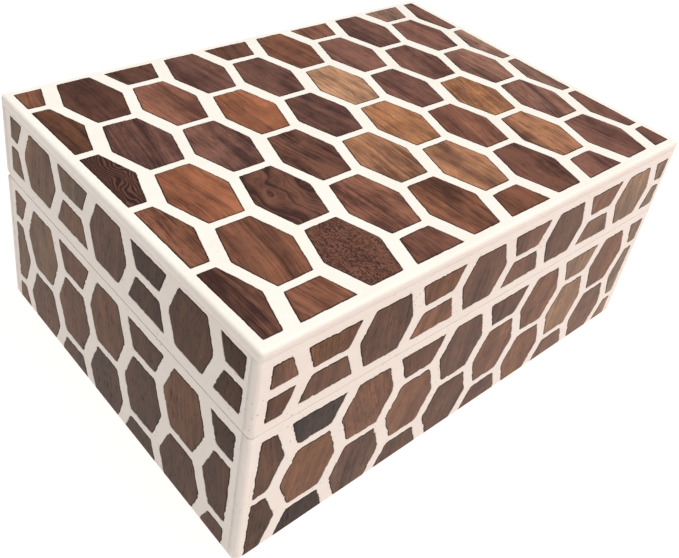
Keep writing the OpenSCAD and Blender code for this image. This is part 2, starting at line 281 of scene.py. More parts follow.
# %% A shell of points and faces
class Shell:
    """Points in a face's drawing (u, v, d), faces between them, and values on the points."""

    def __init__(self, side):
        self.side = side
        self.points = []
        self.faces = []
        self.smooth = []
        self.index = {}
        self.values = {}

    def point(self, u, v, d, **values):
        key = (round(u, 3), round(v, 3), round(d, 3))
        if key not in self.index:
            self.index[key] = len(self.points)
            self.points.append((u, v, d))
            for name, value in values.items():
                self.values.setdefault(name, {})[self.index[key]] = value
        return self.index[key]

    def face(self, corners, smooth=False):
        kept = [c for i, c in enumerate(corners) if c != corners[i - 1]]
        if len(set(kept)) == len(kept) and len(kept) > 2:
            self.faces.append(kept)
            self.smooth.append(smooth)

    def band(self, one, other, closed=True, smooth=True):
        """Four-sided faces between two rows of points."""
        n = len(one)
        for i in range(n if closed else n - 1):
            j = (i + 1) % n
            self.face([one[i], one[j], other[j], other[i]], smooth)

    def made(self, name):
        mesh = bpy.data.meshes.new(name)
        mesh.from_pydata([from_drawing(self.side, *p) for p in self.points], [], self.faces)
        mesh.polygons.foreach_set("use_smooth", self.smooth)
        for value_name, values in self.values.items():
            add_values(mesh, value_name, values)
        piece = bpy.data.objects.new(name, mesh)
        bpy.context.scene.collection.objects.link(piece)
        turn_faces_out(mesh)
        return piece


# %% [markdown]
# Four values can lie on the points. Tone is the colour of the wood with the painted shade of its
# face, grain is the place in the log, and figure says how lively, curly, swirled and rippled the
# grain is. Rim is 0 at the cut between wood and resin and 1 away from it, so a point with no rim
# of its own gets 1.

# %% Values on the points
VALUE_KINDS = {"rim": "FLOAT", "tone": "FLOAT_COLOR", "grain": "FLOAT_VECTOR",
               "figure": "FLOAT_COLOR"}
VALUE_FIELDS = {"FLOAT": "value", "FLOAT_COLOR": "color", "FLOAT_VECTOR": "vector"}


def add_values(mesh, name, values):
    """Stores one value on every point of a mesh, where the finish can read it."""
    kind = VALUE_KINDS[name]
    layer = mesh.attributes.new(name, kind, "POINT")
    for i, item in enumerate(layer.data):
        if i in values:
            setattr(item, VALUE_FIELDS[kind], values[i])
        elif name == "rim":
            item.value = 1.0


def turn_faces_out(mesh):
    work = bmesh.new()
    work.from_mesh(mesh)
    bmesh.ops.recalc_face_normals(work, faces=work.faces)
    open_edges = sum(1 for e in work.edges if len(e.link_faces) != 2)
    work.to_mesh(mesh)
    work.free()
    print(f"  {mesh.name}: {len(mesh.vertices)} points, {len(mesh.polygons)} faces,"
          f" {open_edges} open edges")


# %% [markdown]
# ## The wood of each tile
# The maker cut the tiles from offcuts, and no two boards match: most are a mid rosewood brown,
# some are nearly black, a few are orange, golden or tan. Each kind gets a letter and a colour
# from 0 to 255. A face is then written down with one word per column, and the tiles in it from
# top to bottom. A capital stands for the same colour with a livelier grain, and three capitals
# are boards of their own: W is rippled like a zebra, S swirls round a knot and C is curly. The
# faces that nobody sees from the front are dealt out from a pile with a fixed seed.
#
# The same board looks different on the top, in the full light, than on a side. Each face has a
# tint for that, a painted shade for the light on that face, darkest on the left end. It also says
# how strongly the grain shows. The back and the right end use the front's.

# %% Kinds of wood
WOODS = {
    "k": (66, 53, 50), "x": (62, 40, 33), "d": (84, 57, 47), "e": (88, 59, 43),
    "b": (101, 69, 56), "p": (108, 76, 65), "q": (122, 86, 73), "m": (122, 82, 62),
    "r": (133, 91, 72), "h": (126, 104, 90), "s": (140, 103, 86), "o": (148, 96, 68),
    "l": (146, 114, 96), "n": (150, 126, 108), "u": (160, 122, 98), "g": (170, 121, 84),
    "t": (165, 120, 88), "v": (151, 108, 80), "y": (190, 148, 112),
}
LIVELY = 1.5
# Letter: kind, then how lively, curly, swirled and rippled the grain is
SPECIAL = {"W": ("d", 0.7, 0.0, 0.3, 1.0), "S": ("b", 1.5, 0.0, 0.6, 0.0),
           "C": ("b", 0.7, 1.0, 0.1, 0.0)}
COLOUR_SPREAD = 0.04
GRAIN_SPREAD = 0.15
# Per face: figure is how strongly the grain shows; tint is painted shade, a colour factor for the
# light on that face
FACE_SHADE_AND_FIGURE = {
    "top": dict(figure=1.35, tint=(0.845, 0.855, 0.93)),
    "front": dict(figure=0.95, tint=(0.8, 0.93, 0.845)),
    "left": dict(figure=0.8, tint=(0.565, 0.6, 0.475)),
}

MAPS = {
    "lid_top": ["mEWMB", "dpomM", "DrPSC", "poBRB", "bpptM", "mygtm", "rqqrB", "pqgVq",
                "lqssq", "PLlpp"],
    "lid_front": ["qb", "mp", "p", "mr", "p", "qq", "p", "rs", "l", "ln"],
    "lid_left": ["ll", "s", "hs", "q", "dd", "b", "ee"],
    "base_front": ["be", "kmx", "rp", "brb", "pb", "prb", "rm", "luq", "rq", "lnl"],
    "base_left": ["sls", "lq", "rrp", "rb", "bbb", "rb", "ebp"],
}
PILE = "mmmmbbppprrdovl"


def linear(level):
    """Turns a colour level from 0 to 255 into the light that it stands for."""
    c = level / 255
    return c / 12.92 if c <= 0.04045 else ((c + 0.055) / 1.055) ** 2.4


def wood_of(face, column, row, rng):
    """Colour of one tile, and its figure: how lively, curly, swirled and rippled the grain is."""
    words = MAPS.get(face)
    known = words and column < len(words) and row < len(words[column])
    letter = words[column][row] if known else rng.choice(PILE)
    if letter in SPECIAL:
        kind, lively, curl, swirl, ripple = SPECIAL[letter]
    else:
        kind, curl, swirl, ripple = letter.lower(), 0.0, 0.0, 0.0
        lively = LIVELY if letter.isupper() else 1.0
    face_shade_and_figure = FACE_SHADE_AND_FIGURE.get(FACES[face]["side"], FACE_SHADE_AND_FIGURE["front"])
    shift = 1 + rng.uniform(-COLOUR_SPREAD, COLOUR_SPREAD)
    # The face's tint paints its shade into the tile's colour
    tone = [linear(c) * t * shift for c, t in zip(WOODS[kind], face_shade_and_figure["tint"])]
    lively *= face_shade_and_figure["figure"] * rng.uniform(1 - GRAIN_SPREAD, 1 + GRAIN_SPREAD)
    return (*tone, 1.0), (lively, curl, swirl, ripple)


print(len(WOODS), "kinds of wood,", sum(len(w) for f in MAPS.values() for w in f), "tiles named")

# %% [markdown]
# ## Tiles
# A tile is a prism whose upper rim is softly rounded over by the last sanding. Four rings
# shrink towards the middle: the outermost lies a tenth of a millimetre down, the two inner ones
# are on the surface, and round about there the dark outline of the tile fades out. The flat
# rest is one face, so its shading stays clean. The grain runs along the tile, each board at a
# slightly different angle and from a different part of the log, which is why each tile stores
# its own grain coordinates.

# %% Build the tiles of one face
# Each ring: how far in it lies, how far down, and its rim value
TILE_RINGS = [(0.02, 0.12, 0.0), (0.12, 0.035, 0.2), (0.3, 0.0, 0.5), (0.48, 0.0, 1.0)]
OFF_CORNER = 0.5
GRAIN_SWAY = 7.0  # degrees
LOG = 400.0


def keep_off_corners(side, outline):
    """Holds the tiles of a long side on its flat part, clear of the rounded corners."""
    if side not in LONG_SIDES:
        return outline
    low, high = CORNER_R + OFF_CORNER, LENGTH - CORNER_R - OFF_CORNER
    return [Vector((min(max(p.x, low), high), p.y)) for p in outline]


def add_tile(shell, outline, sawn, tone, figure, angle, log):
    """Adds one tile to a shell. log is the place in the log that its grain is taken from."""
    centre = middle(outline)
    c, s = math.cos(angle), math.sin(angle)

    def values(p, rim):
        x, y = p.x - centre.x, p.y - centre.y
        return dict(rim=rim, tone=tone, figure=figure, grain=(c * x + s * y, c * y - s * x, log))

    rows = []
    for inset, drop, rim in TILE_RINGS:
        rows.append([shell.point(p.x, p.y, drop, **values(p, rim))
                     for p in ring(outline, sawn, inset)])
    outermost = ring(outline, sawn, TILE_RINGS[0][0])
    foot = [shell.point(p.x, p.y, SKIN, **values(p, 0.0)) for p in outermost]
    shell.band(foot, rows[0], smooth=False)
    for one, other in zip(rows, rows[1:]):
        shell.band(one, other)
    shell.face(rows[-1])
    shell.face(foot[::-1])


def build_tiles(face):
    """Builds the tiles of a face and returns them with their outlines and sawn edges."""
    facts = FACES[face]
    shell = Shell(facts["side"])
    rng = random.Random(face)
    edges = []
    for i, column in enumerate(tile_columns(facts["side"], face + "_tiles")):
        for j, raw in enumerate(column):
            outline = keep_off_corners(facts["side"], raw)
            sawn = sawn_edge(outline, facts["reach"], facts["blunt"], len(face) * 10 + i)
            tone, figure = wood_of(face, i, j, rng)
            angle = math.radians(rng.gauss(0, GRAIN_SWAY))
            add_tile(shell, outline, sawn, tone, figure, angle, rng.uniform(0, LOG))
            edges.append((outline, sawn))
    return shell.made(face + "_inlay"), edges


tile_pieces, tile_edges = {}, {}
for face in FACES:
    tile_pieces[face], tile_edges[face] = build_tiles(face)
print(sum(len(e) for e in tile_edges.values()), "tiles")

# %% [markdown]
# ## The resin ground
# The resin is one sheet per face with a hole for each tile. A boolean would leave long slivers,
# so the sheet is filled by a triangulation that has the rings round the tiles as its edges:
# what lies inside a ring is thrown away. Outside the flat part come the edges. An edge is a
# chain of points that starts on the surface, turns over the edge and ends at the back of the
# sheet, and walking that chain along the border closes the solid.

# %% Fill a flat sheet around its holes
# Each ring: how far in it lies (here outside the tile), how far down, and its rim value
GROUND_RINGS = [(-0.2, 0.0, 1.0), (-0.08, 0.02, 0.6), (0.0, 0.08, 0.0)]
JOINED = 1e-5  # points nearer than this count as one


def fill(border, holes):
    """Points and triangles between a border and its holes, and the edges of the border."""
    points, loops, hole_of = [], [], {}
    for k, loop in enumerate([border] + holes):
        start = len(points)
        points += [Vector(p) for p in loop]
        loops.append(list(range(start, len(points))))
        for i in loops[-1]:
            if k:
                hole_of[i] = k
    out = geometry.delaunay_2d_cdt(points, [], loops, 0, JOINED, True)
    found, triangles, from_point, from_loop = out[0], out[2], out[3], out[5]
    kept = [t for t, inside in zip(triangles, from_loop) if list(inside) == [0]]
    uses = {}
    for t in kept:
        for a, b in zip(t, t[1:] + t[:1]):
            key = (min(a, b), max(a, b))
            uses[key] = uses.get(key, 0) + 1
    hole = [next((hole_of[i] for i in ids if i in hole_of), 0) for ids in from_point]
    outer = [e for e, n in uses.items() if n == 1 and not (hole[e[0]] and hole[e[0]] == hole[e[1]])]
    return [tuple(p) for p in found], kept, outer


def add_hole(shell, outline, sawn, back):
    """Rolls the sheet's edge down into a tile's hole and closes it to the back."""
    rows = []
    for inset, drop, rim in GROUND_RINGS:
        rows.append([shell.point(p.x, p.y, drop, rim=rim) for p in ring(outline, sawn, inset)])
    outer = ring(outline, sawn, GROUND_RINGS[0][0])
    rows.append([shell.point(p.x, p.y, SKIN) for p in outer])
    low_edge = [abs(p.y) < FLOOR_LINE for p in outer]
    n = len(outer)
    for one, other in zip(rows, rows[1:]):
        smooth = other is not rows[-1]
        for i in range(n):
            j = (i + 1) % n
            if not (low_edge[i] and low_edge[j]):
                shell.face([one[i], one[j], other[j], other[i]], smooth)
    for i in range(n):
        if low_edge[i] and low_edge[i - 1] != low_edge[(i + 1) % n]:
            p = outer[i]
            turned = shell.point(p.x, p.y, back)
            shell.face([row[i] for row in rows] + [turned])


# %% [markdown]
# The four sides are sheets with straight borders. The front and back sheets wrap round the
# upright corners and cover the ends of the side sheets, so their borders at left and right go
# round a quarter circle first. Along the back the rims are bevelled, and short grooves make
# room for the hinge knuckles, which is what lets the lid swing.

#
# The lid parts from the base at a clear seam. The sheets were glued to each other before they
# were polished, so their joints are finer: an upright one is a dark hair with dust in it, and
# the one under the lid's top can hardly be found.

# %% Edges of the side sheets
CHAMFER = 0.1
JOINT_CHAMFER = 0.16
JOINT_RIM = 0.0
UPPER_JOINT_CHAMFER = 0.05
ARC_STEPS = 8
BEVEL_STEPS = 5
GROOVE_STEPS = BEVEL_STEPS + 1  # so that a groove's chain has as many points as a bevel's
AXIS_D = 1.0  # depth of the hinge axis under the back face
BEVEL_TAN = math.tan(math.radians(48))
GROOVE_R = 1.7
GROOVE_PLAY = 0.2
LEAF_ROOM = 0.9
SEAM = (BASE_TOP + LID_LOW) / 2
ROWS_APART = 4.0
groove_ends = []
for hand in ("right", "left"):
    low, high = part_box(f"hinge_{hand}_pin")
    groove_ends.append((LENGTH / 2 - high.x / MM - GROOVE_PLAY,
                        LENGTH / 2 - low.x / MM + GROOVE_PLAY))
print("grooves from", ", ".join(f"{a:.1f} to {b:.1f} mm" for a, b in groove_ends))


def plain_chain(rim, way, chamfer):
    """Edge of a sheet from its surface to its back. way is 1 for an upper edge."""
    return [(0.0, rim - way * chamfer), (chamfer, rim), (SKIN, rim)]


def bevel_chain(rim, way):
    """The bevelled edge behind the hinge axis."""
    start = SEAM - way * AXIS_D * BEVEL_TAN
    slope = [(AXIS_D * k / BEVEL_STEPS, start + (rim - start) * k / BEVEL_STEPS)
             for k in range(BEVEL_STEPS + 1)]
    return slope + [((AXIS_D + SKIN) / 2, rim), (SKIN, rim)]


def groove_chain(way):
    """The groove for the knuckles and the bed for the leaf, with as many points."""
    first = math.asin(AXIS_D / GROOVE_R)
    last = math.pi / 2 - math.asin(LEAF_ROOM / GROOVE_R)
    points = []
    for k in range(GROOVE_STEPS + 1):
        a = -first + (first + last) * k / GROOVE_STEPS
        points.append((AXIS_D + GROOVE_R * math.sin(a), SEAM - way * GROOVE_R * math.cos(a)))
    return points + [(SKIN, SEAM - way * LEAF_ROOM)]


def corner_points(radius):
    """Quarter circle round an upright corner, from the flat face to the end: (u, d)."""
    angles = [math.pi / 2 * k / ARC_STEPS for k in range(ARC_STEPS + 1)]
    return [(CORNER_R - radius * math.sin(a), CORNER_R - radius * math.cos(a)) for a in angles]


# %% Border of a side sheet
def side_border(low_chain, high_chain, u0, u1, grooves, way):
    """Points of the flat part's border, anticlockwise from its lower left corner."""
    def walk(a, b):
        count = max(1, round(abs(b - a) / ROWS_APART))
        return [a + (b - a) * k / count for k in range(count)]

    def level(chain, us):
        return [(u, chain[0][1]) for u in us]

    def with_grooves(chain, from_u, to_u):
        if not grooves:
            return level(chain, walk(from_u, to_u))
        points, u = [], from_u
        ends = sorted(groove_ends, reverse=to_u < from_u)
        for pair in ends:
            a, b = pair if to_u > from_u else pair[::-1]
            points += level(chain, walk(u, a)) + [(a, chain[0][1])]
            points += level(groove_chain(way), walk(a, b)) + [(b, groove_chain(way)[0][1])]
            u = b
        return points + level(chain, walk(u, to_u))

    low, high = low_chain[0][1], high_chain[0][1]
    bottom = level(low_chain, walk(u0, u1)) if way > 0 else with_grooves(low_chain, u0, u1)
    right = [(u1, v) for v in walk(low, high)]
    top = with_grooves(high_chain, u1, u0) if way > 0 else level(high_chain, walk(u1, u0))
    left = [(u0, v) for v in walk(high, low)]
    return bottom + right + top + left


# %% Build a side sheet
SAME = 1e-4


def build_side(face):
    """Resin sheet of one side, of the base or the lid."""
    side, body = FACES[face]["side"], FACES[face]["body"]
    length = face_size(side)[0]
    long_side = side in LONG_SIDES
    way = 1 if body == "base" else -1
    low, high = (0.0, BASE_TOP) if body == "base" else (LID_LOW, LID_SIDE_TOP)
    u0, u1 = (CORNER_R, length - CORNER_R) if long_side else (SKIN, length - SKIN)
    inset = 0.0 if long_side else JOINT_CHAMFER
    low_chain = plain_chain(low, -1, CHAMFER if body == "lid" else 0.0)
    high_chain = plain_chain(high, 1, CHAMFER if body == "base" else UPPER_JOINT_CHAMFER)
    if body == "base":
        low_chain[1] = (CHAMFER, low)
    hinged = side == "back"
    if hinged and way > 0:
        high_chain = bevel_chain(high, 1)
    if hinged and way < 0:
        low_chain = bevel_chain(low, -1)
    shell = Shell(side)
    border = side_border(low_chain, high_chain, u0 + inset, u1 - inset, hinged, way)
    holes = [ring(o, s, GROUND_RINGS[0][0]) for o, s in tile_edges[face]]
    found, triangles, outer = fill(border, holes)
    turned_d = low_chain[1][0]
    for outline, sawn in tile_edges[face]:
        add_hole(shell, outline, sawn, turned_d)

    def chains(p):
        """The chains that start at a border point: one, or two at a corner."""
        u, v = p
        result = {}
        chain_sets = [("low", low_chain, -1), ("high", high_chain, 1)]
        for name, chain, up in chain_sets:
            groove = hinged and up == way
            if groove and abs(v - groove_chain(way)[0][1]) < SAME and any(
                    a - SAME <= u <= b + SAME for a, b in groove_ends):
                result[name] = groove_chain(way)
            elif abs(v - chain[0][1]) < SAME:
                result[name] = chain
        return result

    def spread(u):
        """A border point at a plain upright joint opens by the joint's chamfer."""
        if abs(u - u0 - inset) < SAME:
            return u0
        if abs(u - u1 + inset) < SAME:
            return u1
        return u

    def chain_points(u, chain):
        first = shell.point(u, chain[0][1], chain[0][0])
        return [first] + [shell.point(spread(u), v, d, rim=1.0) for d, v in chain[1:]]

    def upright_points(u, v):
        """Chain of a point on the left or right border."""
        at_low, at_high = abs(v - low_chain[0][1]) < SAME, abs(v - high_chain[0][1]) < SAME
        back_v = low_chain[-1][1] if at_low else high_chain[-1][1] if at_high else v
        mirror = u > length / 2
        if long_side:
            plan = corner_points(CORNER_R) + [(0.0, SKIN)]
            row = [shell.point(length - pu if mirror else pu, v, d) for pu, d in plan]
            return row + [shell.point(u, back_v, SKIN)]
        first = shell.point(u, v, 0.0)
        turned_v = low if at_low else high if at_high else v
        deep = turned_d if at_low else high_chain[1][0] if at_high else JOINT_CHAMFER
        rim = 1.0 if at_low or at_high else JOINT_RIM
        return [first, shell.point(spread(u), turned_v, deep, rim=rim),
                shell.point(spread(u), back_v, SKIN)]

    def back_point(u, v):
        found_chain = chains((u, v))
        for chain in found_chain.values():
            return shell.point(spread(u), chain[-1][1], SKIN)
        return shell.point(spread(u), v, SKIN)

    for t in triangles:
        shell.face([shell.point(*found[i], 0.0, rim=1.0) for i in t])
        shell.face([back_point(*found[i]) for i in reversed(t)])
    for a, b in outer:
        pa, pb = found[a], found[b]
        upright = abs(pa[0] - pb[0]) < SAME and min(abs(pa[0] - u0 - inset),
                                                    abs(pa[0] - u1 + inset)) < SAME
        if upright:
            shell.band(upright_points(*pa), upright_points(*pb), closed=False, smooth=long_side)
            continue
        if abs(pa[0] - pb[0]) < SAME:
            walls = [bevel_chain(high if way > 0 else low, way), groove_chain(way)]
            shell.band(chain_points(pa[0], walls[0]), chain_points(pa[0], walls[1]),
                       closed=False, smooth=False)
            continue
        mid_v = (pa[1] + pb[1]) / 2
        name = "high" if mid_v > (low + high) / 2 else "low"
        shell.band(chain_points(pa[0], chains(pa)[name]), chain_points(pb[0], chains(pb)[name]),
                   closed=False, smooth=False)
    if long_side:
        for chain in (low_chain, high_chain):
            for mirror in (False, True):
                close_corner(shell, chain, length, mirror)
    return shell.made(face + "_resin")


# %% Close the corners and build all the sides
def close_corner(shell, chain, length, mirror):
    """Closes the end of a wrapped corner where the sheet's upper or lower edge passes it."""
    turn_at = BEVEL_STEPS if len(chain) > BEVEL_STEPS else 1
    start_v = chain[0][1]
    chamfer, rim = chain[turn_at]

    def at(u, d, v):
        return shell.point(length - u if mirror else u, v, d)

    surface = [at(u, d, start_v) for u, d in corner_points(CORNER_R) + [(0.0, SKIN)]]
    inner = corner_points(CORNER_R - chamfer) + [(chamfer, SKIN)]
    turned = [at(u, d, rim) for u, d in inner]
    chain_row = [at(CORNER_R, d, v) for d, v in chain]
    shell.face([surface[1], turned[1]] + chain_row[turn_at::-1])
    for i in range(1, len(surface) - 1):
        shell.face([surface[i], surface[i + 1], turned[i + 1], turned[i]], True)
    shell.face([turned[i] for i in range(1, len(turned))] + chain_row[:turn_at - 1:-1])
    shell.face([surface[-1], turned[-1], chain_row[-1]])


ground_pieces = {}
for face in FACES:
    if face != "lid_top":
        ground_pieces[face] = build_side(face)
print(len(ground_pieces), "side sheets")

# %% [markdown]
# The lid's top sheet is rolled over on all four sides. Its chain is a quarter circle that
# starts at the flat part's border and bends down, then drops to the joint with the side sheets.

# %% Build the lid's top sheet
ROLL_STEPS = 7
CORNER_STEPS = 5


def rounded_border(inset, radius):
    """Points of a rectangle with round corners, with the way outwards at each point."""
    result = []
    low, high_u, high_v = inset + radius, LENGTH - inset - radius, DEPTH - inset - radius
    corners = [(low, low, 180), (high_u, low, 270), (high_u, high_v, 0), (low, high_v, 90)]
    for i, (u, v, start) in enumerate(corners):
        for k in range(CORNER_STEPS + 1):
            a = math.radians(start + 90 * k / CORNER_STEPS)
            way = Vector((math.cos(a), math.sin(a)))
            result.append((Vector((u, v)) + way * radius, way))
        here = result[-1][0]
        nu, nv, nstart = corners[(i + 1) % 4]
        first = math.radians(nstart)
        there = Vector((nu, nv)) + Vector((math.cos(first), math.sin(first))) * radius
        count = max(1, round((there - here).length / ROWS_APART))
        for k in range(1, count):
            result.append((here.lerp(there, k / count), result[-1][1]))
    return result


def build_top():
    shell = Shell("top")
    border = rounded_border(EDGE_R, CORNER_R - EDGE_R)
    holes = [ring(o, s, GROUND_RINGS[0][0]) for o, s in tile_edges["lid_top"]]
    found, triangles, outer = fill([p for p, way in border], holes)
    for outline, sawn in tile_edges["lid_top"]:
        add_hole(shell, outline, sawn, SKIN)
    for t in triangles:
        shell.face([shell.point(*found[i], 0.0, rim=1.0) for i in t])
        shell.face([shell.point(*found[i], SKIN) for i in reversed(t)])
    rows = []
    for p, way in border:
        row = [shell.point(p.x, p.y, 0.0, rim=1.0)]
        for k in range(1, ROLL_STEPS + 1):
            a = math.pi / 2 * k / ROLL_STEPS
            q = p + way * EDGE_R * math.sin(a)
            row.append(shell.point(q.x, q.y, EDGE_R * (1 - math.cos(a))))
        q = p + way * EDGE_R
        row.append(shell.point(q.x, q.y, SKIN - UPPER_JOINT_CHAMFER))
        q = p + way * (EDGE_R - UPPER_JOINT_CHAMFER)
        row.append(shell.point(q.x, q.y, SKIN))
        row.append(shell.point(p.x, p.y, SKIN))
        rows.append(row)
    for one, other in zip(rows, rows[1:] + rows[:1]):
        shell.band(one, other, closed=False)
    return shell.made("lid_top_resin")


ground_pieces["lid_top"] = build_top()

# %% [markdown]
# Each new piece rides on the body that its node in the frame belongs to, and stands for it.

# %% Hand the skin over to the bodies
for face, facts in FACES.items():
    for piece, node, slot in ((tile_pieces[face], face + "_tiles", "tile_wood"),
                              (ground_pieces[face], face + "_ground", "cream_resin")):
        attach(piece, facts["body"])
        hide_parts(node)
print(len(tile_pieces) + len(ground_pieces), "pieces ride on the base and the lid")

# %% [markdown]
# ## Node helpers
# A material is a small network. These helpers keep each line of it short: one adds a node with
# its settings, one makes a group with named inputs and outputs, and one maps a value range.

# %% Helpers for building node trees
def add(tree, kind, **settings):
    """Adds a node. Settings that name an input set its value, the others set a property."""
    node = tree.nodes.new(kind)
    for name, value in settings.items():
        label = name.replace("_", " ")
        if label in node.inputs:
            node.inputs[label].default_value = value
        else:
            setattr(node, name, value)
    return node


def maths(tree, operation, a, b=None):
    node = add(tree, "ShaderNodeMath", operation=operation)
    for socket, value in zip(node.inputs, (a, b)):
        if value is None:
            continue
        if isinstance(value, bpy.types.NodeSocket):
            tree.links.new(value, socket)
        else:
            socket.default_value = value
    return node.outputs[0]


def span(tree, value, low, high, to_low=0.0, to_high=1.0, smooth=False):
    """Maps a value from one range to another and holds it there."""
    node = add(tree, "ShaderNodeMapRange")
    if smooth:
        node.interpolation_type = "SMOOTHSTEP"
    for name, number in (("From Min", low), ("From Max", high), ("To Min", to_low),
                         ("To Max", to_high)):
        node.inputs[name].default_value = number
    tree.links.new(value, node.inputs["Value"])
    return node.outputs["Result"]


def blend_colour(tree, fac, a, b, how="MIX"):
    node = add(tree, "ShaderNodeMix", data_type="RGBA", blend_type=how)
    slots = {s.identifier: s for s in node.inputs}
    for key, value in (("Factor_Float", fac), ("A_Color", a), ("B_Color", b)):
        if isinstance(value, bpy.types.NodeSocket):
            tree.links.new(value, slots[key])
        else:
            slots[key].default_value = value
    return next(s for s in node.outputs if s.identifier == "Result_Color")


def swing(tree, value, middle_level, reach):
    """How far a value is from a middle level, times a reach."""
    return maths(tree, "MULTIPLY", maths(tree, "SUBTRACT", value, middle_level), reach)


def stretched_noise(tree, vector, scale, detail=2.0, roughness=0.5, shift=0.0):
    """Noise whose cells are stretched: scale gives the cells per unit along each axis."""
    mapping = add(tree, "ShaderNodeMapping")
    mapping.inputs["Scale"].default_value = scale
    mapping.inputs["Location"].default_value = (shift, shift * 0.7, shift * 1.3)
    tree.links.new(vector, mapping.inputs["Vector"])
    node = add(tree, "ShaderNodeTexNoise", Scale=1.0, Detail=detail, Roughness=roughness)
    tree.links.new(mapping.outputs[0], node.inputs["Vector"])
    return node.outputs["Fac"]


# %% Helpers for groups and materials
def new_group(name, inputs, outputs):
    """A node group with named sockets: each is (name, kind, start value or None)."""
    tree = bpy.data.node_groups.new(name, "ShaderNodeTree")
    for way, sockets in (("INPUT", inputs), ("OUTPUT", outputs)):
        for socket_name, kind, start in sockets:
            made = tree.interface.new_socket(socket_name, in_out=way,
                                             socket_type="NodeSocket" + kind)
            if start is not None:
                made.default_value = start
    return tree, tree.nodes.new("NodeGroupInput"), tree.nodes.new("NodeGroupOutput")


def place_group(tree, group, **values):
    node = tree.nodes.new("ShaderNodeGroup")
    node.node_tree = group
    for name, value in values.items():
        socket = node.inputs[name.replace("_", " ")]
        if isinstance(value, bpy.types.NodeSocket):
            tree.links.new(value, socket)
        else:
            socket.default_value = value
    return node.outputs


def new_material(name, **constants):
    """A material with a Principled shader. Constants go straight onto its sockets."""
    material = bpy.data.materials.new(name)
    material.use_nodes = True
    tree = material.node_tree
    shader = tree.nodes["Principled BSDF"]
    for label, value in constants.items():
        shader.inputs[label.replace("_", " ")].default_value = value
    return material, tree, shader


def give_bump(tree, shader, height, strength, distance):
    bump = add(tree, "ShaderNodeBump", Strength=strength, Distance=distance)
    tree.links.new(height, bump.inputs["Height"])
    tree.links.new(bump.outputs["Normal"], shader.inputs["Normal"])


# %% [markdown]
# ## Wood grain
# Rosewood has figure at every scale. Broad dark and light zones and bands come from the yearly
# growth, finer lines and fibres run inside them, and thousands of short dark pores lie along
# the fibres. Noise that is stretched along the grain gives all of them, so one table holds
# them. Cloudy patches, which don't follow the grain, and light flecks in some of them come on
# top. The grain bends a little on its way, so the group pushes its coordinates sideways before
# it draws.
#
# Three inputs are for special boards. Swirl bends the grain strongly, as round a knot. Curl
# covers the board with a fine mottle, and Ripple draws the waves of zebra wood.

# %% The layers of the figure
# Name: cells per millimetre across and along the grain, detail, roughness, slice of the noise,
# and the two levels of the noise that become 0 and 1
LAYERS = {
    "zones": (0.1, 0.014, 0.0, 0.5, 3.0, 0.36, 0.64),
    "bands": (0.36, 0.018, 1.0, 0.5, 7.0, 0.3, 0.7),
    "lines": (1.3, 0.04, 3.0, 0.6, 11.0, 0.32, 0.68),
    "fibres": (4.0, 0.24, 2.0, 0.6, 23.0, 0.3, 0.7),
    "cloud": (0.16, 0.1, 2.0, 0.6, 41.0, 0.3, 0.7),
    "pores": (2.8, 0.34, 1.0, 0.4, 37.0, 0.6, 0.7),
    "patches": (0.12, 0.08, 1.0, 0.5, 47.0, 0.5, 0.6),
    "flecks": (2.0, 0.34, 2.0, 0.5, 53.0, 0.56, 0.66),
    "curls": (2.6, 1.5, 2.0, 0.6, 61.0, 0.38, 0.64),
}
OFF_THE_GRAIN = ("cloud", "patches", "curls")
WEIGHTS = {"zones": 0.28, "bands": 0.28, "lines": 0.38, "fibres": 0.24, "cloud": 0.36}
BEND = 6.0
SWIRL_BEND = 30.0
CURL_REACH = 1.5
RIPPLE_REACH = 1.6
DEEPEST = (0.42, 0.39, 0.43, 1)
LIGHTEST = (1.6, 1.52, 1.4, 1)
PORE_SHADE = (0.5, 0.44, 0.42, 1)
FLECK_SHADE = (1.5, 1.4, 1.3, 1)
print(len(LAYERS), "layers of figure,", len(WEIGHTS), "of them shade the wood")

# %% The wood grain group
def figure_layer(tree, name, place):
    across, along, detail, roughness, part, low, high = LAYERS[name]
    drawn = stretched_noise(tree, place, (across, along, 1.0), detail, roughness, part)
    return span(tree, drawn, low, high)


def bent_grain(tree, grain, swirl_amount):
    """The place in the log, pushed sideways so that the grain bends."""
    split = add(tree, "ShaderNodeSeparateXYZ")
    tree.links.new(grain, split.inputs[0])
    slow = stretched_noise(tree, grain, (0.06, 0.03, 1.0), detail=1.0)
    swirl = stretched_noise(tree, grain, (0.12, 0.085, 1.0), detail=1.0, shift=31.0)
    strong = maths(tree, "MULTIPLY", swing(tree, swirl, 0.5, SWIRL_BEND), swirl_amount)
    push = maths(tree, "ADD", swing(tree, slow, 0.5, BEND), strong)
    join = add(tree, "ShaderNodeCombineXYZ")
    across = maths(tree, "ADD", split.outputs[0], push)
    for socket, value in zip(join.inputs, (across, split.outputs[1], split.outputs[2])):
        tree.links.new(value, socket)
    return join.outputs[0]


def zebra_waves(tree, bent):
    squeezed = add(tree, "ShaderNodeMapping")
    squeezed.inputs["Scale"].default_value = (1.0, 0.45, 1.0)
    tree.links.new(bent, squeezed.inputs["Vector"])
    zebra = add(tree, "ShaderNodeTexWave", Scale=0.42, Distortion=5.5, Detail=3.0,
                Detail_Scale=1.0, Detail_Roughness=0.65)
    tree.links.new(squeezed.outputs[0], zebra.inputs["Vector"])
    return zebra.outputs["Fac"]


